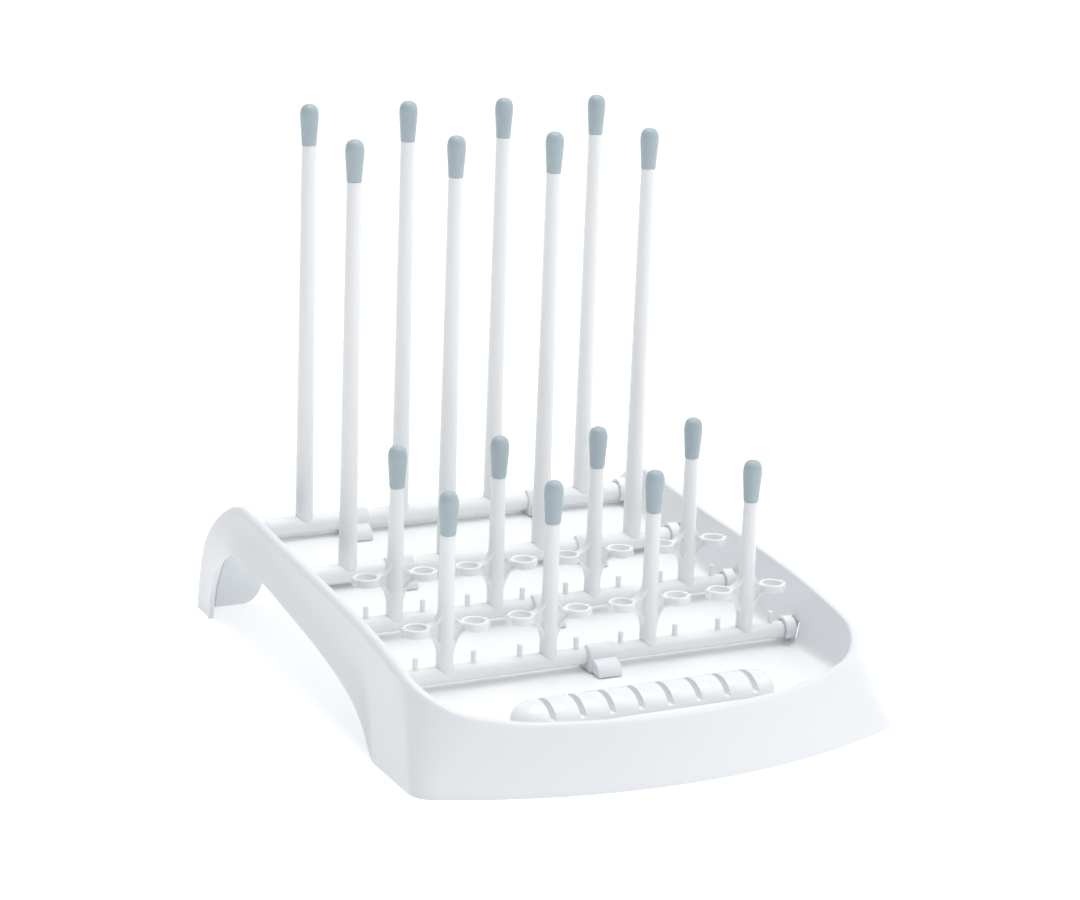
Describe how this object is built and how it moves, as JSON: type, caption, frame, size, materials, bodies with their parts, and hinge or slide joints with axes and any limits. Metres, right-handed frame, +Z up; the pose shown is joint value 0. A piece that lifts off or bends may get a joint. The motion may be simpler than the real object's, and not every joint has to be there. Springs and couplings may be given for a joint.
{
  "type": "bottle drying rack",
  "caption": "Countertop drying rack for baby bottles: a sloped white tray with folding rails of short ringed pegs and tall pegs, each with a soft blue-grey tip.",
  "frame": {"origin": "on the ground, under the centre of the rack's overall box", "axes": "+X to the right across the rails, +Y to the rear, +Z up"},
  "size_m": [0.282, 0.35, 0.3005],
  "materials": {
    "tray_white": "smooth white moulded plastic with a satin gloss",
    "rail_white": "white moulded plastic, satin",
    "tip_blue": "soft grey-blue elastomer with a faint sheen"
  },
  "bodies": {
    "tray": {"base_tray": "tray_white", "front_rail_support_1": "tray_white", "second_rail_support_1": "tray_white", "third_rail_support_1": "tray_white", "third_rail_support_2": "tray_white", "rear_rail_support_1": "tray_white", "rear_rail_support_2": "tray_white"},
    "front_rail": {"front_rail_bar": "rail_white", "front_rail_peg_1": "rail_white", "front_rail_tip_1": "tip_blue", "front_rail_peg_2": "rail_white", "front_rail_tip_2": "tip_blue", "front_rail_peg_3": "rail_white", "front_rail_tip_3": "tip_blue", "front_rail_peg_4": "rail_white", "front_rail_tip_4": "tip_blue"},
    "second_rail": {"second_rail_bar": "rail_white", "second_rail_peg_1": "rail_white", "second_rail_tip_1": "tip_blue", "second_rail_peg_2": "rail_white", "second_rail_tip_2": "tip_blue", "second_rail_peg_3": "rail_white", "second_rail_tip_3": "tip_blue", "second_rail_peg_4": "rail_white", "second_rail_tip_4": "tip_blue"},
    "third_rail": {"third_rail_bar": "rail_white", "third_rail_peg_1": "rail_white", "third_rail_tip_1": "tip_blue", "third_rail_peg_2": "rail_white", "third_rail_tip_2": "tip_blue", "third_rail_peg_3": "rail_white", "third_rail_tip_3": "tip_blue", "third_rail_peg_4": "rail_white", "third_rail_tip_4": "tip_blue"},
    "rear_rail": {"rear_rail_bar": "rail_white", "rear_rail_peg_1": "rail_white", "rear_rail_tip_1": "tip_blue", "rear_rail_peg_2": "rail_white", "rear_rail_tip_2": "tip_blue", "rear_rail_peg_3": "rail_white", "rear_rail_tip_3": "tip_blue", "rear_rail_peg_4": "rail_white", "rear_rail_tip_4": "tip_blue"}
  },
  "joints": [
    {"name": "front_rail_fold", "type": "hinge", "parent": "tray", "child": "front_rail", "pos_m": [0, -0.065, 0.0318], "axis": [1, 0, 0], "range_deg": [0, 82]},
    {"name": "second_rail_fold", "type": "hinge", "parent": "tray", "child": "second_rail", "pos_m": [0, 0, 0.0393], "axis": [1, 0, 0], "range_deg": [0, 82]},
    {"name": "third_rail_fold", "type": "hinge", "parent": "tray", "child": "third_rail", "pos_m": [0, 0.065, 0.0476], "axis": [1, 0, 0], "range_deg": [0, 82]},
    {"name": "rear_rail_fold", "type": "hinge", "parent": "tray", "child": "rear_rail", "pos_m": [0, 0.13, 0.0575], "axis": [1, 0, 0], "range_deg": [0, 82]}
  ],
  "couplings": [
    {"joint": "front_rail_fold", "follows": "rear_rail_fold", "ratio": 1},
    {"joint": "second_rail_fold", "follows": "rear_rail_fold", "ratio": 1},
    {"joint": "third_rail_fold", "follows": "rear_rail_fold", "ratio": 1}
  ]
}
